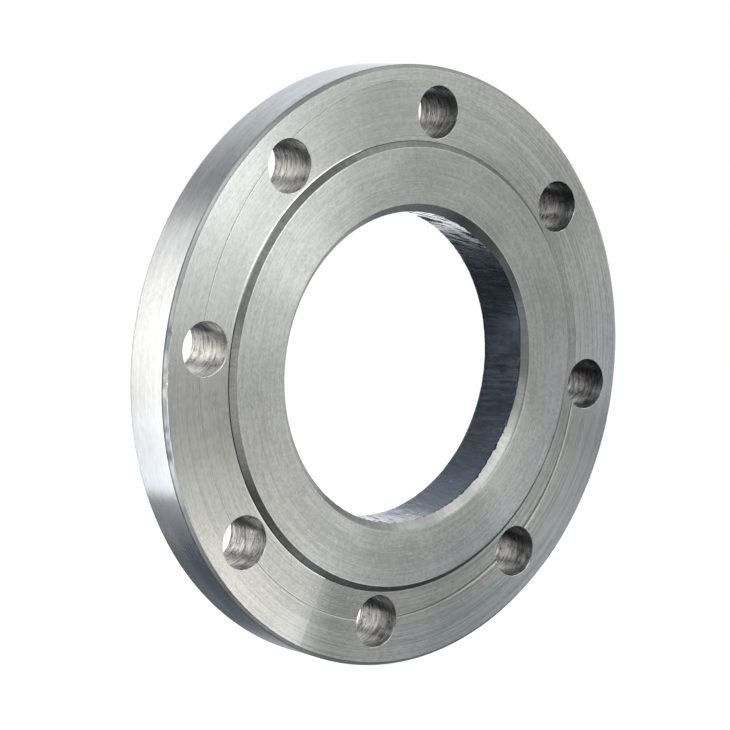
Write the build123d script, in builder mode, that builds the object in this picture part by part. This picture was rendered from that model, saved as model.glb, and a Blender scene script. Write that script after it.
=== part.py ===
from build123d import *
import os

# Raised-face plate flange with an open pipe bore and eight bolt holes.
# The real object is one piece of steel, turned all over and then drilled, so it
# is one solid.  It stands upright: the bore axis is Y, the raised sealing face
# looks towards -Y, and +Z is up through the centre of one bolt hole.  The origin
# is on the bore axis, halfway through the thickness.

# Driving dimensions, in millimetres
outside_diameter = 254.0        # rim
bolt_circle_diameter = 215.9
bolt_hole_diameter = 22.2
bolt_hole_count = 8
first_hole_angle = 90.0         # one hole straight up, on +Z

total_thickness = 25.8          # raised face to back face
raised_face_diameter = 185.7    # flat top of the raised face
raised_face_height = 2.3
step_base_diameter = 190.8      # where the step's sloping wall meets the bolt face
step_root_radius = 0.8          # fillet that the tool nose leaves at the step's root
step_edge_break = 0.12          # outer edge of the raised face, barely broken

bore_diameter = 132.7           # parallel wall that takes the pipe
bore_chamfer_diameter = 138.2   # mouth of the chamfer in the raised face
bore_chamfer_depth = 2.5
bore_back_break = 0.4           # small edge break at the back of the bore

rim_front_chamfer = 1.6
rim_back_chamfer = 1.2
rim_back_setback = 0.9
hole_edge_break = 0.3           # deburred edge at both ends of each bolt hole

# Derived radii and stations along the bore axis
rim_radius = outside_diameter / 2
front_y = -total_thickness / 2                 # raised face
bolt_face_y = front_y + raised_face_height     # annulus that the bolt holes open in
back_y = total_thickness / 2                   # back face

with BuildPart() as flange_ring:
    # Half section of the ring, in the X-Y plane, turned about the bore axis
    with BuildSketch(Plane.XY) as section:
        with BuildLine() as outline:
            Polyline(
                (bore_diameter / 2, front_y + bore_chamfer_depth),
                (bore_chamfer_diameter / 2, front_y),
                (raised_face_diameter / 2, front_y),
                (step_base_diameter / 2, bolt_face_y),
                (rim_radius - rim_front_chamfer, bolt_face_y),
                (rim_radius, bolt_face_y + rim_front_chamfer),
                (rim_radius, back_y - rim_back_chamfer),
                (rim_radius - rim_back_setback, back_y),
                (bore_diameter / 2 + bore_back_break, back_y),
                (bore_diameter / 2, back_y - bore_back_break),
                close=True,
            )
        make_face()
        # Round the root of the step and just break its outer edge
        corners = section.vertices()
        step_root = corners.sort_by_distance((step_base_diameter / 2, bolt_face_y, 0))[0]
        fillet(step_root, step_root_radius)
        corners = section.vertices()
        step_edge = corners.sort_by_distance((raised_face_diameter / 2, front_y, 0))[0]
        fillet(step_edge, step_edge_break)
    revolve(axis=Axis.Y)

    # Bolt holes, drilled square to the face and equally spaced on the bolt circle
    with BuildSketch(Plane.XZ.offset(-back_y)) as drilling:
        with PolarLocations(
            bolt_circle_diameter / 2, bolt_hole_count, start_angle=first_hole_angle
        ):
            Circle(bolt_hole_diameter / 2)
    extrude(amount=total_thickness, mode=Mode.SUBTRACT)

    # Break the edges of the bolt holes, front and back
    hole_edges = (
        flange_ring.edges()
        .filter_by(GeomType.CIRCLE)
        .filter_by(lambda e: abs(e.radius - bolt_hole_diameter / 2) < 0.01)
    )
    chamfer(hole_edges, hole_edge_break)

flange_ring.part.label = "flange_ring"
flange_ring.part.color = Color(0.60, 0.61, 0.60)

os.makedirs("parts", exist_ok=True)
export_step(flange_ring.part, "parts/flange_ring.step")

print("solids", len(flange_ring.part.solids()))
print("volume mm3", round(flange_ring.part.volume, 1))
print("mass kg at 7.85 g/cc", round(flange_ring.part.volume * 7.85e-6, 3))
print("hole edges broken", len(hole_edges))
box = flange_ring.part.bounding_box()
print("box", box.min, box.max)
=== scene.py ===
"""Looks for the steel plate flange: a finely modelled ring, turned and drilled steel, a plain studio."""
import bpy, bmesh, math
import numpy as np
from mathutils import Matrix, Vector


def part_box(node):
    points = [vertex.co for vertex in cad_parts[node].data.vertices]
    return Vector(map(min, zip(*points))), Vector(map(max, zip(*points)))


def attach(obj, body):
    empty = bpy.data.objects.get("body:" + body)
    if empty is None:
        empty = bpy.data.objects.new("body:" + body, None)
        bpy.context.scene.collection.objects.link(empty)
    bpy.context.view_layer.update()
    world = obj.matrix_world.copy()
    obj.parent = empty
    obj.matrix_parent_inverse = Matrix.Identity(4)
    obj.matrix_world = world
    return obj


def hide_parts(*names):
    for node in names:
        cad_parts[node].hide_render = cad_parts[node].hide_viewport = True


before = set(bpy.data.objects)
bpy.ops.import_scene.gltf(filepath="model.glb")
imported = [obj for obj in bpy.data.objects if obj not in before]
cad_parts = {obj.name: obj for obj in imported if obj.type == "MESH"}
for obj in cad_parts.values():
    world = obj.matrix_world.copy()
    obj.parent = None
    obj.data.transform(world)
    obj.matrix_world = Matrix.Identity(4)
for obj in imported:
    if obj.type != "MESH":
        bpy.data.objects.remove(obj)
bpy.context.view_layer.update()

MM = 0.001
lo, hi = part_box("flange_ring")
RIM_R = (hi.x - lo.x) / 2 / MM                 # 127.0
Y_FACE = lo.y / MM                             # raised face, -12.9
Y_BACK = hi.y / MM                             # back face, 12.9
Y_BOLT = Y_FACE + 2.3                          # bolt face
FACE_R, STEP_R = 92.85, 95.4                   # raised face edge, foot of the step
BORE_R, MOUTH_R, MOUTH_D = 66.35, 69.1, 2.5    # parallel bore, chamfer at its mouth
PCD_R, HOLE_R = 107.95, 11.1
K2 = PCD_R

# ------------------------------------------------------------------ helpers
N = 960                                        # columns round the ring
TH = np.arange(N) * 2 * math.pi / N            # clockwise from the top hole, seen from the front
U = np.arange(N) / N


def smooth(x, a, b):
    t = np.clip((x - a) / (b - a), 0, 1)
    return t * t * (3 - 2 * t)


def pnoise(u, cells, seed):
    """Periodic value noise, about -1 to 1; u wraps at 1."""
    g = np.random.RandomState(seed).uniform(-1, 1, cells)
    x = np.mod(u, 1.0) * cells
    i = np.floor(x).astype(int)
    f = x - i
    f = f * f * (3 - 2 * f)
    return g[i % cells] * (1 - f) + g[(i + 1) % cells] * f


def pnoise2(u, v, cu, cv, seed):
    """The same in two directions; only u wraps. v runs from 0 to 1."""
    g = np.random.RandomState(seed).uniform(-1, 1, (cu, cv + 2))
    x = np.mod(u, 1.0) * cu
    y = np.clip(v, 0, 1) * cv
    i, j = np.floor(x).astype(int), np.floor(y).astype(int)
    fx, fy = x - i, y - j
    fx, fy = fx * fx * (3 - 2 * fx), fy * fy * (3 - 2 * fy)
    i0, i1 = i % cu, (i + 1) % cu
    a = g[i0, j] * (1 - fx) + g[i1, j] * fx
    b = g[i0, j + 1] * (1 - fx) + g[i1, j + 1] * fx
    return a * (1 - fy) + b * fy


def around(deg_points, values):
    """Smooth value round the ring through points given in degrees, 0 to 360."""
    d = np.array(deg_points, float)
    v = np.array(values, float)
    dd = np.concatenate([d - 360, d, d + 360])
    vv = np.concatenate([v, v, v])
    x = np.degrees(TH)
    out = np.interp(x, dd, vv)
    k = np.exp(-0.5 * (np.arange(-12, 13) / 4.0) ** 2)
    k /= k.sum()
    pad = np.concatenate([out[-12:], out, out[:12]])
    return np.convolve(pad, k, "valid")


# ------------------------------------------------------------------ the ring's own surface
DEG = np.degrees(TH)


def near(deg, centre, width):
    d = (deg - centre + 180) % 360 - 180
    return np.exp(-0.5 * (d / width) ** 2)


# the cut wandered where it met the mouth: how far the wall stands out of true there, mm
LIP = around(
    [0, 12, 25, 32, 37, 41, 50, 60, 70, 74, 80, 92, 102, 109, 118, 125, 132, 142, 155, 165, 178, 195, 240, 300, 346],
    [-.84, -.82, -.90, -.55, .05, .30, .45, .52, .54, .16, .02, 0, -.18, -.52, -.70, -.58, -.34, -.14, -.26, -.36, -.20, 0, 0, 0, -.70])


def bore_radius(v):
    """The flame-cut wall: drag lines that run nearly straight through, v 0 at the mouth, 1 at the back."""
    # the torch trailed one way at the top and bottom and hardly at all at the side
    lean = 0.0552 * (0.27 - 0.36 * np.sin(TH) ** 2)
    u = U + lean * v
    fine = pnoise2(u, v, 430, 4, 11)
    mid = pnoise2(u, v, 170, 6, 12)
    broad = pnoise2(u, v, 50, 3, 13)
    ridged = 1 - 2 * np.abs(pnoise2(u, v, 240, 5, 14))
    amp = 0.030 + 0.145 * near(DEG, 12, 15) + 0.06 * near(DEG, 172, 18)
    return BORE_R + LIP * (1 - np.clip(v, 0, 1)) ** 3 + amp * (0.55 * fine + 0.8 * mid + 0.5 * ridged) + 0.045 * broad + 0.05 * pnoise(U, 7, 15)


# spiral mark that the tool left as it was drawn across the bolt face
s_deg = [60, 80, 95, 100, 105, 110, 115, 120, 128, 142, 152, 160, 165, 172, 180, 190, 200, 210, 220, 240, 250, 278, 290, 300, 310, 320, 330, 340, 345, 356]
s_val = [.922, .930, .9365, .940, .944, .949, .953, .956, .959, .964, .9685, .9745, .978, .9845, .994, 1.003, 1.0055, 1.006, 1.006, 1.006, 1.008, 1.026, 1.037, 1.050, 1.065, 1.080, 1.095, 1.110, 1.117, 1.120]
SP_R = around(s_deg, s_val) * K2
SP_D = smooth(DEG, 62, 84) * (1 - smooth(DEG, 341, 350))
SP_D = SP_D * (0.75 + 0.25 * pnoise(U, 60, 21))

rows = []      # (radius mm, y mm, material of the strip to the next row)


def row(r, y, m):
    rows.append((np.broadcast_to(np.asarray(r, float), (N,)).copy(), np.broadcast_to(np.asarray(y, float), (N,)).copy(), m))


M_FACE, M_BOLT, M_STEP, M_EDGE, M_RIM, M_BACK, M_BORE, M_MOUTH, M_HOLE, M_MARK, M_FOOT_SHADE, M_BOLT2, M_LIT = range(13)

slope = (MOUTH_R - BORE_R) / MOUTH_D
ye = np.full(N, Y_FACE + MOUTH_D)
for _ in range(4):
    v = (ye - (Y_FACE + MOUTH_D)) / (Y_BACK - Y_FACE - MOUTH_D)
    ye = Y_FACE + (MOUTH_R - bore_radius(v)) / slope
chips = np.clip(pnoise(U, 380, 31) - 0.35, 0, 1) * (0.04 + 0.96 * near(DEG, 118, 20) + 0.30 * near(DEG, 35, 8) + 0.5 * near(DEG, 73, 2))
ye = ye + 0.13 * pnoise(U, 470, 32) * (0.25 + 0.75 * near(DEG, 125, 35)) - 0.32 * chips
r_edge = MOUTH_R - (ye - Y_FACE) * slope

# mouth of the bore, from its ragged inner edge out to the raised face
row(r_edge, ye, M_MOUTH)
worn = smooth(DEG, 70, 100) * (1 - smooth(DEG, 200, 240))      # the mouth's outer edge is a little rounded there
for t in (0.10, 0.35, 0.68):
    row(r_edge + (MOUTH_R - r_edge) * t, ye + (Y_FACE - ye) * t, M_MOUTH)
row(MOUTH_R - 0.03 - 0.14 * worn, Y_FACE + (0.03 + 0.14 * worn) / slope, M_MOUTH)
row(MOUTH_R + 0.03 * worn, Y_FACE + 0.05 * worn, M_MOUTH)
row(MOUTH_R + 0.04 + 0.22 * worn, Y_FACE, M_FACE)
for r in (70.2, 75.0, 81.0, 87.0, 92.3):
    row(r, Y_FACE, M_FACE)
# edge, wall and filleted foot of the step
row(FACE_R - 0.10, Y_FACE, M_STEP)
row(FACE_R + 0.02, Y_FACE + 0.04, M_STEP)
row(FACE_R + 0.13, Y_FACE + 0.13, M_STEP)
row(FACE_R + 0.95, Y_FACE + 0.88, M_STEP)
row(FACE_R + 1.95, Y_FACE + 1.78, M_STEP)
# the foot strips take near-black steel: painted shade in the crease, with a painted highlight on the left
row(STEP_R - 0.34, Y_BOLT - 0.30, M_FOOT_SHADE)
row(STEP_R - 0.14, Y_BOLT - 0.15, M_FOOT_SHADE)
# the foot is dressed with a small radius on two arcs and left sharp between them
dressed = smooth(DEG, 198.6, 199.6) * (1 - smooth(DEG, 229, 243)) + smooth(DEG, 273, 277) * (1 - smooth(DEG, 334.5, 336))
row(STEP_R - 0.02 + 0.02 * dressed, Y_BOLT - 0.004 - 0.081 * dressed, M_BOLT)
row(STEP_R + 0.36, Y_BOLT - 0.024 * dressed, M_BOLT)
row(STEP_R + 0.76, Y_BOLT, M_BOLT)
# bolt face, its rows bent along the spiral mark
r0 = STEP_R + 0.76
for t in (0.25, 0.80):
    row(r0 + (SP_R - 0.6 - r0) * t, Y_BOLT, M_BOLT)
wide = near(DEG, 140, 33)              # broad and shallow low on the right, a scratch everywhere else
faint = 1 - 0.45 * near(DEG, 240, 28)
row(SP_R - 0.62, Y_BOLT, M_BOLT)
row(SP_R - 0.17 * faint - 0.28 * wide, Y_BOLT + 0.002 * SP_D, M_MARK)
row(SP_R + 0.02 + 0.14 * wide, Y_BOLT + (0.030 + 0.170 * wide) * SP_D, M_LIT)
row(SP_R + 0.22 + 0.80 * wide, Y_BOLT + 0.002 * SP_D, M_BOLT2)
row(SP_R + 0.45 + 0.92 * wide, Y_BOLT, M_BOLT2)
r1 = RIM_R - 1.85
for t in (0.15, 0.75):
    row(SP_R + 1.6 + (r1 - SP_R - 1.6) * t, Y_BOLT, M_BOLT2)
row(r1, Y_BOLT, M_BOLT2)
# front edge: two flats with a line between them, nicked where the ring has been knocked
nick = np.zeros(N)
rs = np.random.RandomState(41)
for c, w, h in zip(rs.uniform(248, 284, 16), rs.uniform(0.25, 0.9, 16), rs.uniform(0.10, 0.34, 16)):
    nick += h * near(DEG, c, w)
for c, w, h in zip(rs.uniform(0, 360, 26), rs.uniform(0.25, 0.7, 26), rs.uniform(0.04, 0.16, 26)):
    nick += h * near(DEG, c, w)
wob = 0.05 * pnoise(U, 90, 42) + 0.04 * pnoise(U, 23, 43)
row(RIM_R - 1.60 + wob - nick, Y_BOLT + 0.01, M_EDGE)
row(RIM_R - 1.50 + wob - nick, Y_BOLT + 0.10 + 0.3 * nick, M_EDGE)
row(RIM_R - 1.00 + wob - 0.4 * nick, Y_BOLT + 0.60 + 0.6 * nick, M_EDGE)
row(RIM_R - 0.45 + wob, Y_BOLT + 1.15, M_EDGE)
row(RIM_R - 0.03, Y_BOLT + 1.57 + wob, M_EDGE)
row(RIM_R - 0.0, Y_BOLT + 1.61 + wob, M_RIM)
wr = [0.02 * pnoise(U, 30, 50 + k) for k in range(4)]
for k, t in enumerate((0.04, 0.33, 0.66, 0.96)):
    a, b = Y_BOLT + 1.61, Y_BACK - 1.36
    row(RIM_R - np.abs(wr[k]) * 0.5, a + (b - a) * t + wob * (1 - t), M_RIM)
row(RIM_R, Y_BACK - 1.34, M_EDGE)
row(RIM_R - 0.05, Y_BACK - 1.16, M_EDGE)
row(RIM_R - 0.42, Y_BACK - 0.62 + wob, M_EDGE)
row(RIM_R - 0.86, Y_BACK - 0.06, M_EDGE)
row(RIM_R - 1.02, Y_BACK, M_BACK)
for r in (125.5, 119.5, 108.0, 92.0, 78.0, 68.6):
    row(r, Y_BACK, M_BACK)
# back edge of the bore, left as cut
rb = bore_radius(np.ones(N))
rag = 0.16 * np.abs(pnoise(U, 300, 61)) + 0.10 * np.abs(pnoise(U, 90, 62))
row(rb + 0.34 + rag, Y_BACK, M_MOUTH)
row(rb + 0.16 + 0.5 * rag, Y_BACK - 0.10, M_MOUTH)
row(rb + 0.02, Y_BACK - 0.36 - 0.6 * rag, M_BORE)
for t in np.linspace(0.955, 0.035, 21):
    y = ye + 0.04 + (Y_BACK - 0.36 - ye) * t
    row(bore_radius((y - (Y_FACE + MOUTH_D)) / (Y_BACK - Y_FACE - MOUTH_D)), y, M_BORE)

R = np.array([r for r, _, _ in rows])
Y = np.array([y for _, y, _ in rows])
nr = len(rows)
co = np.stack([R * np.sin(TH), Y, R * np.cos(TH)], -1).reshape(-1, 3) * MM
i, j = np.meshgrid(np.arange(nr), np.arange(N), indexing="ij")
i2, j2 = (i + 1) % nr, (j + 1) % N
quads = np.stack([i * N + j, i * N + j2, i2 * N + j2, i2 * N + j], -1).reshape(-1, 4)
mats = np.repeat(np.array([m for _, _, m in rows]), N)
mats = np.where((mats == M_MARK) & (np.tile(SP_D, nr) < 0.12), M_BOLT, mats)
mats[-N:] = np.where((DEG > 36) & (DEG < 166), M_FOOT_SHADE, M_BORE)     # painted shadow: the near-black foot steel on the strip just under the ragged edge, on the right


def mesh_from(name, co, quads, mats, caps=()):
    me = bpy.data.meshes.new(name)
    nq, nc = len(quads), len(caps)
    me.vertices.add(len(co))
    me.vertices.foreach_set("co", np.asarray(co, np.float32).ravel())
    loops = list(np.asarray(quads).ravel())
    starts = list(np.arange(nq) * 4)
    totals = [4] * nq
    for c in caps:
        starts.append(len(loops))
        totals.append(len(c))
        loops.extend(c)
    me.loops.add(len(loops))
    me.loops.foreach_set("vertex_index", np.array(loops, np.int32))
    me.polygons.add(nq + nc)
    me.polygons.foreach_set("loop_start", np.array(starts, np.int32))
    me.polygons.foreach_set("loop_total", np.array(totals, np.int32))
    me.polygons.foreach_set("material_index", np.concatenate([np.asarray(mats), np.full(nc, M_HOLE)]).astype(np.int32))
    me.update(calc_edges=True)
    me.validate()
    return me


scene = bpy.context.scene


def link(name, me):
    ob = bpy.data.objects.new(name, me)
    scene.collection.objects.link(ob)
    return ob


ring = link("flange_ring_turned", mesh_from("flange_ring_turned", co, quads, mats))

# ------------------------------------------------------------------ drilled holes
SEG = 72


def drill(k):
    a = math.radians(45 * k)
    cx, cz = PCD_R * math.sin(a), PCD_R * math.cos(a)
    ph = np.arange(SEG) * 2 * math.pi / SEG
    uu = np.arange(SEG) / SEG
    rr, yy = [], []
    burr = 0.05 * pnoise(uu, 19, 100 + k) + 0.05 * pnoise(uu, 36, 120 + k)
    rr += [HOLE_R + 1.20 + burr * 0, HOLE_R + 0.17 + 0.8 * burr, HOLE_R + 0.02 + 0.3 * burr, HOLE_R + 0.0 * burr]
    yy += [Y_BOLT - 1.05, Y_BOLT - 0.02, Y_BOLT + 0.13, Y_BOLT + 0.42]
    y0, y1 = Y_BOLT + 0.42, Y_BACK - 0.36
    for t in np.linspace(0, 1, 34)[1:-1]:
        y = y0 + (y1 - y0) * t
        turn = y / 2.9                                   # feed marks: a shallow helix, torn in places
        h = 0.5 * np.sin(2 * math.pi * (turn + uu) + 1.5 * pnoise(uu, 5, 140 + k))
        h = h + 0.9 * pnoise2(uu + 0.02 * y, np.full(SEG, t), 15, 16, 160 + k) + 0.5 * pnoise2(uu, np.full(SEG, t), 31, 33, 180 + k)
        rr.append(HOLE_R + 0.026 * h)
        yy.append(y)
    rr += [HOLE_R + 0 * uu, HOLE_R + 0.10 + 0.4 * burr, HOLE_R + 0.34 + burr, HOLE_R + 1.35 + 0 * uu]
    yy += [Y_BACK - 0.36, Y_BACK - 0.18, Y_BACK + 0.02, Y_BACK + 1.05]
    rr, yy = np.array(rr), np.array(yy)
    c = np.stack([cx + rr * np.sin(ph), np.repeat(yy[:, None], SEG, 1), cz + rr * np.cos(ph)], -1).reshape(-1, 3) * MM
    n = len(yy)
    i, j = np.meshgrid(np.arange(n - 1), np.arange(SEG), indexing="ij")
    j2 = (j + 1) % SEG
    q = np.stack([i * SEG + j, i * SEG + j2, (i + 1) * SEG + j2, (i + 1) * SEG + j], -1).reshape(-1, 4)
    front = list(range(SEG))[::-1]
    back = [(n - 1) * SEG + t for t in range(SEG)]
    return c, q, front, back


cc, qq, caps, base = [], [], [], 0
for k in range(8):
    c, q, f, b = drill(k)
    cc.append(c)
    qq.append(q + base)
    caps += [[x + base for x in f], [x + base for x in b]]
    base += len(c)
qq = np.concatenate(qq)
cutter = link("drills", mesh_from("drills", np.concatenate(cc), qq, np.full(len(qq), M_HOLE), caps))


def face_out(ob):
    bm = bmesh.new()
    bm.from_mesh(ob.data)
    bmesh.ops.recalc_face_normals(bm, faces=bm.faces)
    v = bm.calc_volume(signed=True)
    if v < 0:
        bmesh.ops.reverse_faces(bm, faces=bm.faces)
    bm.to_mesh(ob.data)
    bm.free()


face_out(ring)
face_out(cutter)

# ------------------------------------------------------------------ materials


class Nodes:
    def __init__(self, name):
        self.m = bpy.data.materials.new(name)
        self.m.use_nodes = True
        self.t = self.m.node_tree
        self.t.nodes.clear()
        self.out = self.n("ShaderNodeOutputMaterial")
        self.b = self.n("ShaderNodeBsdfPrincipled")
        self.t.links.new(self.b.outputs[0], self.out.inputs[0])

    def n(self, kind, **kw):
        x = self.t.nodes.new(kind)
        for k, v in kw.items():
            setattr(x, k, v)
        return x

    def put(self, value, socket):
        if isinstance(value, bpy.types.NodeSocket):
            self.t.links.new(value, socket)
        elif value is not None:
            socket.default_value = value

    def math(self, op, a, b=None, c=None, clamp=False):
        x = self.n("ShaderNodeMath", operation=op, use_clamp=clamp)
        for v, s in zip((a, b, c), x.inputs):
            self.put(v, s)
        return x.outputs[0]

    def vec(self, op, a, b=None):
        x = self.n("ShaderNodeVectorMath", operation=op)
        for v, s in zip((a, b), x.inputs):
            self.put(v, s)
        return x.outputs["Value"] if op in ("LENGTH", "DOT_PRODUCT", "DISTANCE") else x.outputs["Vector"]

    def xyz(self, x, y, z):
        c = self.n("ShaderNodeCombineXYZ")
        for v, s in zip((x, y, z), c.inputs):
            self.put(v, s)
        return c.outputs[0]

    def noise(self, vector, scale, detail=2.0, rough=0.5, lac=2.0, dist=0.0):
        x = self.n("ShaderNodeTexNoise")
        self.put(vector, x.inputs["Vector"])
        x.inputs["Scale"].default_value = scale
        x.inputs["Detail"].default_value = detail
        x.inputs["Roughness"].default_value = rough
        x.inputs["Lacunarity"].default_value = lac
        x.inputs["Distortion"].default_value = dist
        return x.outputs[0]

    def remap(self, v, a, b, c=0.0, d=1.0, kind="LINEAR"):
        x = self.n("ShaderNodeMapRange", interpolation_type=kind)
        self.put(v, x.inputs["Value"])
        for s, w in zip(("From Min", "From Max", "To Min", "To Max"), (a, b, c, d)):
            self.put(w, x.inputs[s])
        return x.outputs[0]

    def mix(self, f, a, b, blend="MIX"):
        x = self.n("ShaderNodeMix", data_type="RGBA", blend_type=blend)
        self.put(f, x.inputs[0])
        for v, s in ((a, x.inputs[6]), (b, x.inputs[7])):
            self.put(v if isinstance(v, bpy.types.NodeSocket) else (*v, 1.0), s)
        return x.outputs[2]

    def grey(self, v):
        return self.xyz(v, v, v)

    def bump(self, height, strength, distance, normal=None):
        x = self.n("ShaderNodeBump")
        x.inputs["Strength"].default_value = strength
        x.inputs["Distance"].default_value = distance
        self.put(height, x.inputs["Height"])
        if normal is not None:
            self.put(normal, x.inputs["Normal"])
        return x.outputs[0]


def place(n):
    """Where a point is: position in mm, radius from the bore axis in mm, direction round the axis."""
    tc = n.n("ShaderNodeTexCoord").outputs["Object"]
    p = n.vec("SCALE", tc)
    p.node.inputs["Scale"].default_value = 1000.0
    s = n.n("ShaderNodeSeparateXYZ")
    n.put(p, s.inputs[0])
    x, y, z = s.outputs
    r = n.math("SQRT", n.math("ADD", n.math("MULTIPLY", x, x), n.math("MULTIPLY", z, z)))
    return p, x, y, z, r, n.math("DIVIDE", x, r), n.math("DIVIDE", z, r)


def lobe(n, ux, uz, deg, width):
    """1 at an angle round the ring, falling softly to 0 at width degrees from it."""
    a = math.radians(deg)
    d = n.math("MULTIPLY_ADD", ux, math.sin(a), n.math("MULTIPLY", uz, math.cos(a)))
    return n.remap(d, math.cos(math.radians(width)), 1.0, 0.0, 1.0, "SMOOTHSTEP")


def uneven(n, ux, uz, lobes):
    """A factor round the ring: 1 plus a few soft lobes (degrees, width, how much)."""
    f = 1.0
    for deg, width, much in lobes:
        f = n.math("MULTIPLY_ADD", lobe(n, ux, uz, deg, width), much, f)
    return f


def turned(name, base, rough, aniso, across, lines=1.0, cloud=1.0, grain=1.0, bumpy=1.0, blue_reflection=0.0, blue_reflection_r=0.0, ribs=0.0, lobes=(), side_x=0.42, side_z=-0.10, reflection_edge=0.0, scuffs=0.0, reach=1.0, inner=(), inner_r=(0, 1), edge_highlight=0.0, chatter=()):
    """Turned steel. across is the way that the tool moved: "r" over a face, "y" along the rim, "c" down a cone. Several
    options paint light and shade into the colour: soft lobes round the ring, a blue reflection, an edge highlight and a
    reflection edge.
    """
    n = Nodes(name)
    p, x, y, z, r, ux, uz = place(n)
    t = {"r": r, "y": y, "c": n.math("ADD", r, y)}[across]

    def arcs(step, sweep, detail=2.0, seed=0.0):
        return n.noise(n.xyz(n.math("DIVIDE", t, step), n.math("MULTIPLY_ADD", ux, sweep, seed), n.math("MULTIPLY", uz, sweep)), 1.0, detail, 0.55)

    fine = arcs(0.60, 5.0 * reach, 0.0)
    mid = arcs(1.15, 3.4 * reach, 1.0, 7.0)
    wide = arcs(4.2, 0.8, 2.0, 3.0)
    short = arcs(0.60, 60.0, 1.0, 11.0)
    blot = n.noise(p, 0.034, 2.0, 0.5)
    spot = n.noise(p, 0.45, 2.0, 0.6)
    # the tool chattered more on one side of the ring than on the other
    side = n.math("ADD", n.math("MULTIPLY", ux, side_x), n.math("MULTIPLY_ADD", uz, side_z, 0.80))
    if chatter:
        side = n.math("MULTIPLY", side, uneven(n, ux, uz, chatter))
    # a cut line now and then stands out dark
    cut = n.math("MULTIPLY", n.remap(arcs(0.85, 1.0, 0.0, 19.0), 0.64, 0.76, 0.0, 0.26 * lines, "SMOOTHSTEP"), side)
    # lines stand further apart where the face was cut faster
    lay = n.math("MULTIPLY", n.math("SUBTRACT", mid, 0.5), n.math("MULTIPLY_ADD", n.math("ABSOLUTE", ux), 0.55 * lines, 0.52 * lines))
    lay = n.math("MULTIPLY_ADD", n.math("SUBTRACT", fine, 0.5), 1.60 * lines, lay)
    lay = n.math("MULTIPLY_ADD", n.math("SUBTRACT", wide, 0.5), 0.25 * lines, lay)
    k = n.math("MULTIPLY_ADD", lay, side, 0.5)
    gr = n.math("MULTIPLY_ADD", n.math("SUBTRACT", short, 0.5), 1.0 * grain, n.math("MULTIPLY", n.math("SUBTRACT", spot, 0.5), 0.8 * grain))
    k = n.math("MULTIPLY_ADD", gr, n.math("MULTIPLY_ADD", side, 0.45, 0.62), k)
    k = n.math("MULTIPLY_ADD", n.math("SUBTRACT", blot, 0.5), 0.8 * cloud, k, clamp=True)
    col = n.mix(k, tuple(c * 0.82 for c in base), tuple(c * 1.16 for c in base))
    # scattered darker stains, a little browner than the steel
    stain = n.remap(n.noise(p, 0.13, 3.0, 0.6, 2.2, 0.5), 0.58, 0.74, 0.0, 0.22 * cloud, "SMOOTHSTEP")
    col = n.mix(stain, col, tuple(c * q for c, q in zip(base, (0.72, 0.71, 0.68))))
    col = n.mix(cut, col, tuple(c * 0.55 for c in base))
    if blue_reflection:
        # a painted blue reflection: a blue tint on one side of the outer part of the face, low on the right, broken
        # into streaks
        f = n.remap(n.math("ADD", n.math("MULTIPLY", ux, 0.80), n.math("MULTIPLY", uz, -0.60)), 0.45, 0.95, 0.0, blue_reflection, "SMOOTHSTEP")
        f = n.math("MULTIPLY", f, n.remap(r, blue_reflection_r - 4.0, blue_reflection_r + 4.0, 0.0, 1.0, "SMOOTHSTEP"))
        streak = n.remap(arcs(0.9, 3.0, 1.0, 31.0), 0.36, 0.64, 0.55, 1.0)
        col = n.mix(n.math("MULTIPLY", f, streak), col, n.mix(1.0, col, (0.90, 1.0, 1.14), "MULTIPLY"))
    if ribs:
        # brushed across the lay: streaks that run down the slope
        rib = n.noise(n.xyz(n.math("MULTIPLY", ux, 85.0), n.math("DIVIDE", t, 6.0), n.math("MULTIPLY", uz, 85.0)), 1.0, 3.0, 0.65)
        col = n.mix(1.0, col, n.grey(n.math("MULTIPLY_ADD", n.math("SUBTRACT", rib, 0.5), 2.2 * ribs, 1.0)), "MULTIPLY")
    # painted light and shade: the colour made lighter or darker at a few angles round the ring
    if lobes:
        col = n.mix(1.0, col, n.grey(uneven(n, ux, uz, lobes)), "MULTIPLY")
    if inner:
        # painted light and shade as above, close to the inner edge of the face only
        f = n.math("SUBTRACT", uneven(n, ux, uz, inner), 1.0)
        f = n.math("MULTIPLY_ADD", f, n.remap(r, inner_r[0], inner_r[1], 1.0, 0.0, "SMOOTHSTEP"), 1.0)
        col = n.mix(1.0, col, n.grey(f), "MULTIPLY")
    if edge_highlight:
        # a painted highlight along the edge of the mouth for part of the way round
        f = n.math("MULTIPLY", lobe(n, ux, uz, 44, 40), n.remap(r, MOUTH_R + 0.35, MOUTH_R + 0.65, edge_highlight, 0.0))
        col = n.mix(f, col, tuple(min(c * 1.4, 0.98) for c in base))
    if reflection_edge:
        # a painted reflection edge: a sharp bright edge across the outer part of the face, low on the left, with a
        # faint painted shade just before it
        ang = n.math("ARCTAN2", ux, uz)
        on = n.remap(ang, math.radians(198.9 - 360), math.radians(199.4 - 360))
        off = n.remap(ang, math.radians(200 - 360), math.radians(211 - 360), reflection_edge, 0.0, "SMOOTHSTEP")
        dull_shade = n.remap(ang, math.radians(188 - 360), math.radians(198.9 - 360), 0.0, -0.02, "SMOOTHSTEP")
        f = n.math("MULTIPLY_ADD", on, off, n.math("MULTIPLY", n.math("SUBTRACT", 1.0, on), dull_shade))
        f = n.math("MULTIPLY_ADD", f, n.remap(r, 108.0, 119.0, 0.3, 1.0), 1.0)
        col = n.mix(1.0, col, n.grey(f), "MULTIPLY")
    if scuffs:
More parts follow.
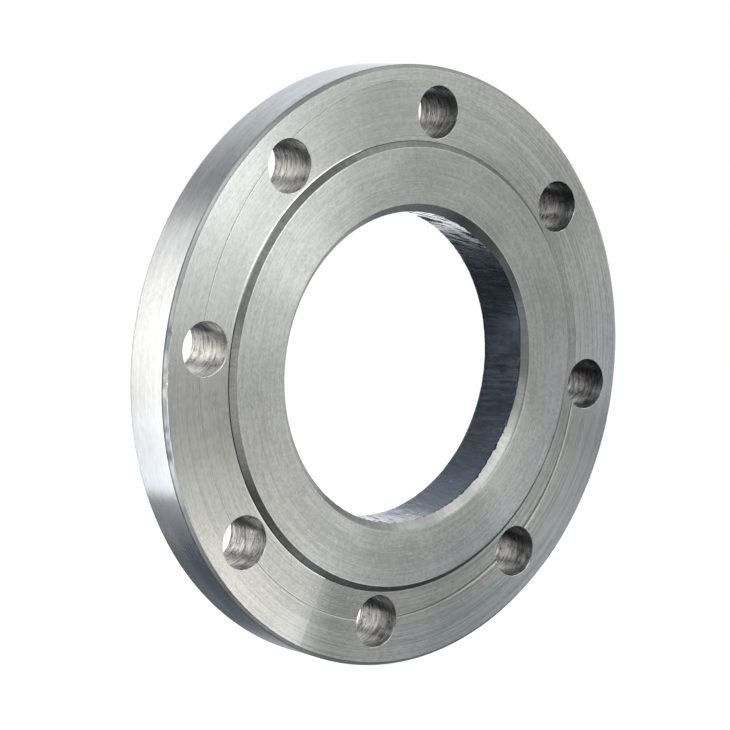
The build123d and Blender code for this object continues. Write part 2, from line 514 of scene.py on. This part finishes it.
        # a patch of crossed scratches near the top of the face
        q1 = n.noise(n.xyz(n.math("MULTIPLY", n.math("ADD", x, z), 1.1), n.math("MULTIPLY", n.math("SUBTRACT", x, z), 0.045), 0.0), 1.0, 1.0, 0.5)
        q2 = n.noise(n.xyz(n.math("MULTIPLY", n.math("SUBTRACT", x, n.math("MULTIPLY", z, 0.5)), 1.3), n.math("MULTIPLY", n.math("MULTIPLY_ADD", x, 0.5, z), 0.05), 7.0), 1.0, 1.0, 0.5)
        q = n.math("MAXIMUM", n.remap(q1, 0.60, 0.66), n.remap(q2, 0.61, 0.67))
        q = n.math("MULTIPLY", q, n.math("MULTIPLY", lobe(n, ux, uz, 17, 15), n.remap(r, 77.0, 82.0, scuffs, 0.0, "SMOOTHSTEP")))
        col = n.mix(q, col, tuple(min(c * 1.25, 0.98) for c in base))
    n.put(col, n.b.inputs["Base Color"])
    rg = n.math("MULTIPLY_ADD", n.math("SUBTRACT", blot, 0.5), 0.05 * bumpy, rough)
    rg = n.math("MULTIPLY_ADD", n.math("SUBTRACT", mid, 0.5), 0.05 * bumpy, rg)
    n.put(rg, n.b.inputs["Roughness"])
    n.b.inputs["Metallic"].default_value = 1.0
    n.b.inputs["Anisotropic"].default_value = aniso
    n.b.inputs["Anisotropic Rotation"].default_value = 0.25
    tg = n.n("ShaderNodeTangent", direction_type="RADIAL", axis="Y")
    n.put(tg.outputs[0], n.b.inputs["Tangent"])
    h = n.math("MULTIPLY_ADD", fine, 0.6, n.math("MULTIPLY", mid, 0.8))
    h = n.math("MULTIPLY_ADD", short, 0.12, h)
    nb = n.bump(h, 0.5 * bumpy, 0.000012)
    n.put(nb, n.b.inputs["Normal"])
    n.parts = dict(p=p, x=x, y=y, z=z, r=r, ux=ux, uz=uz, col=col)
    return n


def edge_steel():
    """The bevel: two bands with a painted highlight line between them, painted shade as a dark line where it meets the
    rim, a painted blue reflection on the left.
    """
    # painted light and shade round the ring in the lobes
    n = turned("broken_edge_steel", (0.300, 0.297, 0.289), 0.49, 0.0, "c", lines=0.7, cloud=1.3,
               lobes=((357, 18, -0.12), (176, 26, 0.70), (206, 15, 0.90), (254, 18, 0.75), (300, 14, 0.22), (330, 16, -0.34)))
    b = n.b.inputs["Base Color"]
    col = b.links[0].from_socket
    r, ux, uz = n.parts["r"], n.parts["ux"], n.parts["uz"]
    # painted blue reflection on the left
    blue = n.math("MULTIPLY", lobe(n, ux, uz, 262, 62), 1.0)
    col = n.mix(blue, col, n.mix(1.0, col, (0.90, 0.985, 1.08), "MULTIPLY"))
    left = lobe(n, ux, uz, 258, 75)
    # painted highlight: a lighter line across the middle of the bevel on the left
    light = n.math("MULTIPLY", n.remap(r, RIM_R - 1.05, RIM_R - 0.85, 0.0, 1.0, "SMOOTHSTEP"), n.remap(r, RIM_R - 0.62, RIM_R - 0.50, 1.0, 0.0, "SMOOTHSTEP"))
    col = n.mix(n.math("MULTIPLY", light, left), col, n.mix(1.0, col, (1.22, 1.24, 1.25), "MULTIPLY"))
    # painted shade: a dark line where the bevel meets the rim, strongest on the left
    line = n.remap(r, RIM_R - 0.46, RIM_R - 0.28, 0.0, 0.72, "SMOOTHSTEP")
    line = n.math("MULTIPLY", line, n.math("MULTIPLY_ADD", left, 0.7, 0.3))
    col = n.mix(line, col, (0.075, 0.080, 0.090))
    # painted shade: a dark line along the inner edge of the bevel, high on the left
    inner = n.math("MULTIPLY", n.remap(r, RIM_R - 1.52, RIM_R - 1.30, 0.55, 0.0, "SMOOTHSTEP"), lobe(n, ux, uz, 306, 34))
    col = n.mix(inner, col, (0.09, 0.095, 0.10))
    # small bright knocks on the left
    knock = n.math("MULTIPLY", n.remap(n.noise(n.parts["p"], 0.9, 1.0, 0.5), 0.70, 0.74), lobe(n, ux, uz, 264, 22))
    knock = n.math("MULTIPLY", knock, n.remap(r, RIM_R - 1.2, RIM_R - 0.9, 0.9, 0.0))
    n.put(n.mix(knock, col, (0.93, 0.93, 0.93)), b)
    return n


def mouth_steel():
    """The chamfer at the bore's mouth: brushed down the slope, with a little painted blue reflection high on the right
    and painted shade as a dark line along its outer edge on the right.
    """
    # painted light and shade round the ring in the lobes
    n = turned("bore_mouth_steel", (0.329, 0.327, 0.318), 0.345, 0.0, "c", cloud=1.2, ribs=0.16,
               lobes=((354, 18, 0.55), (27, 20, -0.55), (76, 26, 1.15), (104, 10, -0.15), (134, 15, -0.12)))
    ux, uz = n.parts["ux"], n.parts["uz"]
    b = n.b.inputs["Base Color"]
    col = b.links[0].from_socket
    # painted blue reflection, high on the right
    col = n.mix(lobe(n, ux, uz, 58, 34), col, n.mix(1.0, col, (0.95, 1.0, 1.08), "MULTIPLY"))
    # painted shade: a dark line along the outer edge of the chamfer, on the right
    brim = n.math("MULTIPLY", n.remap(n.parts["r"], 68.35, 68.75, 0.0, 0.50, "SMOOTHSTEP"), lobe(n, ux, uz, 108, 38))
    n.put(n.mix(brim, col, (0.10, 0.10, 0.10)), b)
    return n


def rim_steel():
    """The rim: turned along its width, cloudy, with painted light on its back part low on the left, dark bluish streaks
    near the front edge high on the left, and a painted warm reflection on the left.
    """
    n = turned("rim_steel", (0.656, 0.703, 0.762), 0.205, 0.951, "y", lines=0.65, cloud=0.8, grain=0.8, bumpy=0.08, reach=0.6)
    ux, uz, y, p = (n.parts[k] for k in ("ux", "uz", "y", "p"))
    b = n.b.inputs["Base Color"]
    col = b.links[0].from_socket
    # painted light: the back part of the rim made lighter low on the left and a little high on the left
    back = n.remap(y, -3.0, 6.0, 0.0, 1.0, "SMOOTHSTEP")
    f = n.math("SUBTRACT", uneven(n, ux, uz, ((224, 14, 0.60), (306, 14, 0.14))), 1.0)
    col = n.mix(1.0, col, n.grey(n.math("MULTIPLY_ADD", f, back, 1.0)), "MULTIPLY")
    # dark bluish streaks near the front edge, high on the left
    q = n.xyz(n.math("MULTIPLY", ux, 16.0), n.math("MULTIPLY", y, 0.9), n.math("MULTIPLY", uz, 16.0))
    s = n.math("MULTIPLY", n.remap(n.noise(q, 1.0, 3.0, 0.7), 0.54, 0.66), n.remap(y, -9.5, -4.0, 1.0, 0.0, "SMOOTHSTEP"))
    s = n.math("MULTIPLY", s, lobe(n, ux, uz, 318, 30))
    col = n.mix(n.math("MULTIPLY", s, 0.75), col, (0.20, 0.22, 0.25))
    q = n.xyz(n.math("MULTIPLY", ux, 9.0), n.math("MULTIPLY", y, 0.30), n.math("MULTIPLY", uz, 9.0))
    s = n.math("MULTIPLY", n.math("SUBTRACT", n.noise(q, 1.0, 3.0, 0.7), 0.5), lobe(n, ux, uz, 305, 50))
    col = n.mix(1.0, col, n.grey(n.math("MULTIPLY_ADD", s, 0.45, 1.0)), "MULTIPLY")
    # painted warm reflection on the left
    col = n.mix(lobe(n, ux, uz, 288, 44), col, n.mix(1.0, col, (1.02, 1.0, 0.965), "MULTIPLY"))
    n.put(col, b)
    return n


def bore_steel():
    """The flame-cut wall: blue-grey scale with drag lines, painted reflections at the top and bottom and painted light
    and shade round the bore.
    """
    n = Nodes("flame_cut_bore")
    p, x, y, z, r, ux, uz = place(n)
    lean = n.math("MULTIPLY", y, n.math("MULTIPLY_ADD", n.math("MULTIPLY", ux, ux), -0.36, 0.27))
    q = n.xyz(n.math("MULTIPLY_ADD", uz, lean, x), n.math("MULTIPLY", y, 0.06), n.math("MULTIPLY_ADD", ux, n.math("MULTIPLY", lean, -1.0), z))
    drag = n.noise(q, 1.05, 3.0, 0.6)
    drag2 = n.noise(q, 0.38, 2.0, 0.5)
    pit = n.noise(p, 0.9, 2.0, 0.6)
    ends = n.math("ADD", lobe(n, ux, uz, 12, 42), lobe(n, ux, uz, 176, 34), clamp=True)
    k = n.math("MULTIPLY_ADD", n.math("SUBTRACT", drag, 0.5), 1.1, n.math("MULTIPLY", n.math("SUBTRACT", drag2, 0.5), 0.8))
    k = n.math("MULTIPLY", k, n.math("MULTIPLY_ADD", ends, 0.70, 0.50))
    k = n.math("MULTIPLY_ADD", n.math("SUBTRACT", pit, 0.5), 0.6, n.math("ADD", k, 0.43), clamp=True)
    col = n.mix(k, (0.052, 0.066, 0.090), (0.150, 0.182, 0.232))
    # painted reflection: the colour made bright at the top and bottom of the hole, broken up by the drag streaks, with
    # dull scale left in streaks between
    bore_reflection = n.math("ADD", n.math("MULTIPLY", lobe(n, ux, uz, 0, 31), 0.95), n.math("MULTIPLY", lobe(n, ux, uz, 172, 20), 0.14))
    bore_reflection = n.math("ADD", bore_reflection, n.math("MULTIPLY", lobe(n, ux, uz, 194, 9), 1.0), clamp=True)
    col = n.mix(n.math("MULTIPLY", bore_reflection, n.remap(k, 0.05, 0.60)), col, (0.56, 0.575, 0.60))
    speck = n.remap(n.noise(p, 0.55, 1.0, 0.4), 0.755, 0.80, 0.0, 0.7, "SMOOTHSTEP")
    col = n.mix(speck, col, (0.42, 0.43, 0.44))
    q5 = n.xyz(n.math("MULTIPLY_ADD", uz, lean, x), n.math("MULTIPLY", y, 0.12), n.math("MULTIPLY_ADD", ux, n.math("MULTIPLY", lean, -1.0), z))
    scale = n.noise(q5, 0.60, 2.0, 0.6)
    # dark, dull scale in streaks: the scale of the cut, laid on heaviest at a few angles and in a band near 33 degrees
    # as painted shade
    dull_shade = n.remap(scale, 0.53, 0.56, 0.0, 1.0, "SMOOTHSTEP")
    dull_shade = n.math("MULTIPLY", dull_shade, n.remap(n.math("ADD", lobe(n, ux, uz, 22, 30), n.math("MULTIPLY", lobe(n, ux, uz, 182, 14), 0.5)), 0.0, 0.6, 0.12, 0.95))
    dull_shade = n.math("ADD", dull_shade, n.math("MULTIPLY", lobe(n, ux, uz, 33, 12), 0.40), clamp=True)
    col = n.mix(dull_shade, col, (0.030, 0.036, 0.045))
    # painted light and shade round the bore
    col = n.mix(1.0, col, n.grey(uneven(n, ux, uz, ((122, 48, 0.42), (86, 12, 0.30), (226, 12, 0.16), (180, 11, -0.62)))), "MULTIPLY")
    n.put(col, n.b.inputs["Base Color"])
    n.put(n.math("MULTIPLY_ADD", dull_shade, -0.92, 0.92), n.b.inputs["Metallic"])
    n.b.inputs["Specular IOR Level"].default_value = 0.0
    n.put(n.remap(drag, 0.3, 0.7, 0.20, 0.30), n.b.inputs["Roughness"])
    n.b.inputs["Anisotropic"].default_value = 0.77
    tg = n.n("ShaderNodeTangent", direction_type="RADIAL", axis="Y")
    n.put(tg.outputs[0], n.b.inputs["Tangent"])
    h = n.math("MULTIPLY_ADD", pit, 0.25, drag)
    n.put(n.bump(h, 0.25, 0.00008), n.b.inputs["Normal"])
    return n


def hole_steel():
    """Drilled wall: torn rings that run round the hole, with painted light and shade."""
    n = Nodes("drilled_hole")
    p, x, y, z, r, ux, uz = place(n)
    g = n.n("ShaderNodeNewGeometry")
    axis = n.vec("CROSS_PRODUCT", g.outputs["Normal"], (0.0, 1.0, 0.0))
    q = n.xyz(n.math("MULTIPLY", x, 0.13), n.math("MULTIPLY_ADD", x, 0.10, y), n.math("MULTIPLY", z, 0.13))
    ringy = n.noise(q, 1.45, 3.0, 0.6)
    torn = n.noise(q, 0.55, 2.0, 0.6)
    rub = n.noise(p, 0.42, 3.0, 0.65)
    k = n.math("MULTIPLY_ADD", n.math("SUBTRACT", ringy, 0.5), 3.0, 0.52)
    k = n.math("MULTIPLY_ADD", n.math("SUBTRACT", torn, 0.5), 1.5, k)
    k = n.math("MULTIPLY_ADD", n.math("SUBTRACT", rub, 0.5), 1.3, k)
    # painted light: the holes on the left of the ring made lighter
    k = n.math("MULTIPLY_ADD", lobe(n, ux, uz, 292, 60), 0.26, k, clamp=True)
    col = n.mix(k, (0.21, 0.209, 0.210), (0.85, 0.850, 0.842))
    # painted shade: darker at the top of each hole, and on the holes on the right-hand side of the ring
    far = n.math("MULTIPLY_ADD", ux, -0.30, n.math("MULTIPLY_ADD", uz, -0.08, 0.82))
    ns = n.n("ShaderNodeSeparateXYZ")
    n.put(g.outputs["Normal"], ns.inputs[0])
    top = n.remap(n.math("MULTIPLY_ADD", ns.outputs[0], -0.64, n.math("MULTIPLY", ns.outputs[2], -0.77)), 0.25, 1.0, 0.0, 1.0, "SMOOTHSTEP")
    hole_top_shade = n.math("MULTIPLY", top, n.math("MULTIPLY_ADD", ux, 0.17, 0.72))
    hole_top_shade = n.math("MULTIPLY_ADD", n.math("MULTIPLY", hole_top_shade, n.math("SUBTRACT", rub, 0.5)), 1.2, hole_top_shade, clamp=True)
    far = n.math("MULTIPLY", far, uneven(n, ux, uz, ((90, 100, 0.34),)))
    col = n.mix(1.0, col, n.grey(far), "MULTIPLY")
    glint = n.math("MULTIPLY", n.remap(n.noise(q, 1.7, 1.0, 0.5), 0.60, 0.68, 0.0, 0.75, "SMOOTHSTEP"), n.remap(rub, 0.42, 0.55))
    col = n.mix(glint, col, (0.92, 0.92, 0.90))
    col = n.mix(hole_top_shade, col, (0.029, 0.027, 0.034))
    # a painted highlight where the fine burr faces the light, low on the left of each hole
    burr = n.math("MULTIPLY", n.remap(ns.outputs[1], -0.35, -0.60), n.remap(n.math("MULTIPLY_ADD", ns.outputs[0], 0.75, n.math("MULTIPLY", ns.outputs[2], 0.65)), 0.0, 0.35))
    burr = n.math("MULTIPLY", burr, n.remap(rub, 0.40, 0.52))
    col = n.mix(burr, col, (0.95, 0.95, 0.93))
    n.put(col, n.b.inputs["Base Color"])
    n.b.inputs["Metallic"].default_value = 1.0
    n.put(n.remap(rub, 0.3, 0.7, 0.22, 0.38), n.b.inputs["Roughness"])
    n.b.inputs["Anisotropic"].default_value = 0.4
    n.b.inputs["Anisotropic Rotation"].default_value = 0.25
    n.put(axis, n.b.inputs["Tangent"])
    h = n.math("MULTIPLY_ADD", torn, 0.8, ringy)
    h = n.math("MULTIPLY_ADD", rub, 0.5, h)
    n.put(n.bump(h, 0.6, 0.00012), n.b.inputs["Normal"])
    return n


# the lobes and inner lists below paint light and shade round the ring
MATS = {
    M_FACE: turned("raised_face_steel", (0.709, 0.708, 0.674), 0.282, 0.755, "r", lines=0.75, cloud=1.7, grain=1.5, bumpy=0.4, blue_reflection=0.35, blue_reflection_r=80.0, side_x=0.05, scuffs=0.8, reach=0.8,
                   lobes=((117, 26, 0.32), (190, 34, 0.12), (262, 22, 0.13), (300, 16, 0.11)),
                   inner=((24, 14, -0.14), (126, 14, 0.15), (186, 40, 0.24), (252, 18, 0.12)), inner_r=(71.5, 80.0), edge_highlight=0.75),
    M_BOLT: turned("bolt_face_steel", (0.765, 0.761, 0.724), 0.214, 0.957, "r", lines=0.85, cloud=1.1, grain=1.15, bumpy=0.15, reflection_edge=0.20, reach=0.40, side_z=-0.20,
                   lobes=((8, 26, 0.10), (110, 38, 0.14), (266, 14, 0.08)),
                   inner=((24, 14, -0.12), (90, 18, -0.13), (190, 9, 0.08)), inner_r=(96.5, 105.0), chatter=((30, 34, 0.65),)),
    M_BOLT2: turned("bolt_face_outer_steel", (0.775, 0.771, 0.734), 0.214, 0.957, "r", lines=0.85, cloud=1.1, grain=1.15, bumpy=0.15, blue_reflection=0.55, blue_reflection_r=111.0, reflection_edge=0.26, reach=0.40, side_z=-0.20,
                    lobes=((2, 46, 0.17), (100, 54, 0.23), (190, 9, 0.08), (217, 9, 0.08)), chatter=((30, 34, 0.65),)),
    # the step wall: the same turned steel painted dark as shade, with painted light and shade round the ring
    M_STEP: turned("step_wall_steel", (0.179, 0.183, 0.184), 0.40, 0.0, "c", ribs=0.42, grain=1.6,
                   lobes=((148, 38, -0.74), (100, 40, -0.20), (30, 20, -0.26), (216, 17, 0.62), (256, 24, 1.35), (322, 14, -0.40))),
    M_EDGE: edge_steel(),
    M_RIM: rim_steel(),
    M_BACK: turned("back_face_steel", (0.56, 0.56, 0.545), 0.36, 0.60, "r"),
    M_BORE: bore_steel(),
    M_MOUTH: mouth_steel(),
    M_HOLE: hole_steel(),
    M_MARK: turned("tool_mark_steel", (0.13, 0.13, 0.125), 0.30, 0.6, "r"),
    M_LIT: turned("tool_mark_wall", (0.775, 0.771, 0.734), 0.40, 0.3, "r", lines=0.3, grain=0.5,
                  lobes=((156, 34, -0.34), (112, 24, -0.14), (24, 40, -0.30), (240, 60, -0.10))),
    # near-black steel: painted shade in the crease at the foot of the step and under the bore's ragged edge, with a
    # painted highlight on the left
    M_FOOT_SHADE: turned("step_foot_shade_steel", (0.045, 0.045, 0.045), 0.36, 0.2, "c", lobes=((291, 15, 6.5),)),
}
for ob in (ring, cutter):
    for k in sorted(MATS):
        ob.data.materials.append(MATS[k].m)

# ------------------------------------------------------------------ drill the ring, then settle its normals
bo = ring.modifiers.new("drill", "BOOLEAN")
bo.operation = "DIFFERENCE"
bo.solver = "EXACT"
bo.object = cutter
dg = bpy.context.evaluated_depsgraph_get()
me = bpy.data.meshes.new_from_object(ring.evaluated_get(dg))
ring.modifiers.clear()
old = ring.data
ring.data = me
bpy.data.meshes.remove(old)
bpy.data.objects.remove(cutter)
ring.name = "turned_flange"
me.name = "turned_flange"
me.shade_smooth()
me.set_sharp_from_angle(angle=math.radians(38))
wn = ring.modifiers.new("normals", "WEIGHTED_NORMAL")
wn.mode = "FACE_AREA"
wn.weight = 50
wn.keep_sharp = True
print("ring", len(me.vertices), "verts", len(me.polygons), "faces", sum(len(p.vertices) - 2 for p in me.polygons), "triangles")

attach(ring, "root")
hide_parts("flange_ring")

# ------------------------------------------------------------------ floor
bm = bmesh.new()
bmesh.ops.create_grid(bm, x_segments=1, y_segments=1, size=6.0)
fl = bpy.data.meshes.new("floor")
bm.to_mesh(fl)
bm.free()
floor = link("floor", fl)
floor.location = (0, 0, lo.z - 0.0005)
fm = Nodes("pale_floor")
fm.b.inputs["Base Color"].default_value = (0.22, 0.22, 0.22, 1)
fm.b.inputs["Roughness"].default_value = 0.9
fm.b.inputs["Specular IOR Level"].default_value = 0.0
fm.b.inputs["Emission Color"].default_value = (1, 1, 1, 1)
fm.b.inputs["Emission Strength"].default_value = 0.92
fl.materials.append(fm.m)
floor.visible_glossy = False
floor.visible_diffuse = False

# ------------------------------------------------------------------ studio: soft cards and a graded surround


def card(name, az, el, dist, roll, hw, hh, power, su, sv, colour=(1, 1, 1)):
    """A soft-edged light card that faces the ring. Azimuth 0 is behind the ring (+Y), 90 is to the right (+X)."""
    a, e, t = map(math.radians, (az, el, roll))
    d = Vector((math.sin(a) * math.cos(e), math.cos(a) * math.cos(e), math.sin(e)))
    r = Vector((0, 0, 1)).cross(d).normalized()
    u = d.cross(r)
    rr, uu = r * math.cos(t) + u * math.sin(t), -r * math.sin(t) + u * math.cos(t)
    me = bpy.data.meshes.new(name)
    c = d * dist
    me.from_pydata([c - rr * hw - uu * hh, c + rr * hw - uu * hh, c + rr * hw + uu * hh, c - rr * hw + uu * hh], [], [(0, 1, 2, 3)])
    uv = me.uv_layers.new(name="UVMap")
    for k, w in enumerate(((0, 0), (1, 0), (1, 1), (0, 1))):
        uv.data[k].uv = w
    ob = link(name, me)
    n = Nodes(name + "_glow")
    n.t.nodes.remove(n.b)
    co = n.n("ShaderNodeTexCoord").outputs["UV"]
    s = n.n("ShaderNodeSeparateXYZ")
    n.put(co, s.inputs[0])

    def fall(v, soft):
        q = n.math("SUBTRACT", 1.0, n.math("ABSOLUTE", n.math("MULTIPLY_ADD", v, 2.0, -1.0)))
        return n.remap(q, 0.0, max(soft, 0.02), 0.0, 1.0, "SMOOTHSTEP")

    g = n.n("ShaderNodeNewGeometry")
    f = n.math("MULTIPLY", fall(s.outputs[0], su), fall(s.outputs[1], sv))
    em = n.n("ShaderNodeEmission")
    em.inputs["Color"].default_value = (*colour, 1)
    n.put(n.math("MULTIPLY", f, power), em.inputs["Strength"])
    thru = n.n("ShaderNodeBsdfTransparent")
    both = n.n("ShaderNodeAddShader")
    n.t.links.new(em.outputs[0], both.inputs[0])
    n.t.links.new(thru.outputs[0], both.inputs[1])
    n.t.links.new(both.outputs[0], n.out.inputs[0])
    me.materials.append(n.m)
    ob.visible_camera = False
    ob.visible_shadow = False
    return ob


CARDS = [
    # name, az, el, distance, roll, half width, half height, power, soft across, soft up, colour
    ("key_left", -78.7, -8.7, .506, 3.9, .369, .846, 2.640, .34, .56, (1.047, .993, .927)),
    ("key_side", -96.4, -11.9, .601, -4.8, .214, .950, 2.000, .20, .20, (1.047, .993, .927)),
    ("front_low", 158.5, 8.6, 1.600, -57.3, .368, .424, 1.761, .249, .901, (.939, .978, .976)),
    ("front_high", 189.7, 32.8, .753, 20.0, .662, .289, 3.779, .943, 1.0, (.939, .978, .976)),
    ("low_fill", 158.3, -26.6, .452, -10.6, .097, .294, 1.082, .109, .998, (.982, .972, .931)),
    ("top_back", 44.2, 53.8, 1.070, 35.2, .896, .895, .252, .647, .026, (1, 1, 1)),
    ("rim_card", -37.4, -27.5, .452, 7.5, .032, .094, 1.192, .997, .311, (1.003, .975, .951)),
    ("right_fill", 92.6, 4.7, .713, -92.2, .116, .386, .611, .134, .028, (.917, .979, 1.049)),
    ("back_right", 71.7, -12.8, 1.055, -2.6, .086, .211, 2.092, .894, .955, (1.0, 1.0, 1.0)),
    ("back_left", -54.9, -28.6, .463, 45.2, .138, .032, 3.571, .319, .956, (1, 1, 1)),
    ("low_right", 136.7, -34.5, 1.377, -24.3, .080, .561, 2.274, .068, .861, (.955, .991, .955)),
    ("behind_bore", 35.3, -9.3, .510, -45.9, .235, .314, .413, .113, .24, (1, 1, 1)),
    ("backdrop_low", 37.0, -12.0, .320, 0, .085, .095, 1.75, .30, .30, (.98, 1.0, 1.02)),
    ("backdrop_high", 39.5, 16.0, .900, 0, .130, .120, .80, .60, .60, (.93, .99, 1.05)),
    ("table_glow", 158.0, -69.0, .500, 0, .150, .150, .80, .80, .80, (.99, .99, .99)),
    ("rim_spot", -22.6, 10.9, .926, -6.4, .089, .227, .842, .236, .032, (1, 1, 1)),
]
for c in CARDS:
    card(*c)

WORLD_Z = (-1, -.6, -.35, -.1, .3, .7, 1.0)
WORLD_E = (.03, .177, .189, .002, .547, .632, 1.21)
WORLD_AZ, WORLD_LEAN = 117.4, 0.857
w = bpy.data.worlds.new("studio")
scene.world = w
w.use_nodes = True
nt = w.node_tree
nt.nodes.clear()
wo = nt.nodes.new("ShaderNodeOutputWorld")
tc = nt.nodes.new("ShaderNodeTexCoord")
sx = nt.nodes.new("ShaderNodeSeparateXYZ")
nt.links.new(tc.outputs["Generated"], sx.inputs[0])
fc = nt.nodes.new("ShaderNodeFloatCurve")
mr = nt.nodes.new("ShaderNodeMapRange")
mr.inputs["From Min"].default_value = -1
nt.links.new(sx.outputs[2], mr.inputs["Value"])
nt.links.new(mr.outputs[0], fc.inputs["Value"])
cv = fc.mapping.curves[0]
while len(cv.points) > 2:
    cv.points.remove(cv.points[-1])
pts = [((z + 1) / 2, e / 2.0) for z, e in zip(WORLD_Z, WORLD_E)]
cv.points[0].location = pts[0]
cv.points[1].location = pts[-1]
for q in pts[1:-1]:
    cv.points.new(*q)
for q in cv.points:
    q.handle_type = "VECTOR"
fc.mapping.update()
dot = nt.nodes.new("ShaderNodeVectorMath")
dot.operation = "DOT_PRODUCT"
nt.links.new(tc.outputs["Generated"], dot.inputs[0])
dot.inputs[1].default_value = (math.sin(math.radians(WORLD_AZ)) * WORLD_LEAN, math.cos(math.radians(WORLD_AZ)) * WORLD_LEAN, 0)
one = nt.nodes.new("ShaderNodeMath")
one.operation = "ADD"
one.inputs[1].default_value = 1.0
nt.links.new(dot.outputs["Value"], one.inputs[0])
mul = nt.nodes.new("ShaderNodeMath")
mul.operation = "MULTIPLY"
nt.links.new(fc.outputs[0], mul.inputs[0])
nt.links.new(one.outputs[0], mul.inputs[1])
mul2 = nt.nodes.new("ShaderNodeMath")
mul2.operation = "MULTIPLY"
mul2.inputs[1].default_value = 2.0
nt.links.new(mul.outputs[0], mul2.inputs[0])
bg = nt.nodes.new("ShaderNodeBackground")
tone = nt.nodes.new("ShaderNodeMix")
tone.data_type = "RGBA"
tone.inputs[6].default_value = (0.85, 0.98, 1.08, 1)
tone.inputs[7].default_value = (0.965, 0.98, 0.97, 1)
up = nt.nodes.new("ShaderNodeMapRange")
up.inputs["From Min"].default_value = -0.35
up.inputs["From Max"].default_value = 0.1
nt.links.new(sx.outputs[2], up.inputs["Value"])
nt.links.new(up.outputs[0], tone.inputs[0])
nt.links.new(tone.outputs[2], bg.inputs["Color"])
nt.links.new(mul2.outputs[0], bg.inputs["Strength"])
white = nt.nodes.new("ShaderNodeBackground")
white.inputs["Color"].default_value = (1, 1, 1, 1)
white.inputs["Strength"].default_value = 1.0
lp = nt.nodes.new("ShaderNodeLightPath")
mx = nt.nodes.new("ShaderNodeMixShader")
nt.links.new(lp.outputs["Is Camera Ray"], mx.inputs[0])
nt.links.new(bg.outputs[0], mx.inputs[1])
nt.links.new(white.outputs[0], mx.inputs[2])
nt.links.new(mx.outputs[0], wo.inputs[0])

scene.view_settings.view_transform = "Standard"
scene.view_settings.look = "None"
scene.view_settings.exposure = 0.0
scene.view_settings.gamma = 1.0

# ------------------------------------------------------------------ camera
cam = bpy.data.cameras.new("camera")
co_ = bpy.data.objects.new("camera", cam)
scene.collection.objects.link(co_)
scene.camera = co_
cam.sensor_fit = "HORIZONTAL"
cam.sensor_width = 36.0
cam.lens = 36.0 * 2673.3 / 730
cam.shift_x = -0.0038
cam.shift_y = -0.0016
cam.clip_start = 0.05
cam.clip_end = 30
cam.dof.use_dof = False
co_.matrix_world = Matrix((
    (0.74815, -0.06813, -0.66002, -0.755176),
    (-0.65259, 0.10433, -0.75049, -0.843942),
    (0.11999, 0.99221, 0.03360, 0.037346),
    (0, 0, 0, 1),
))
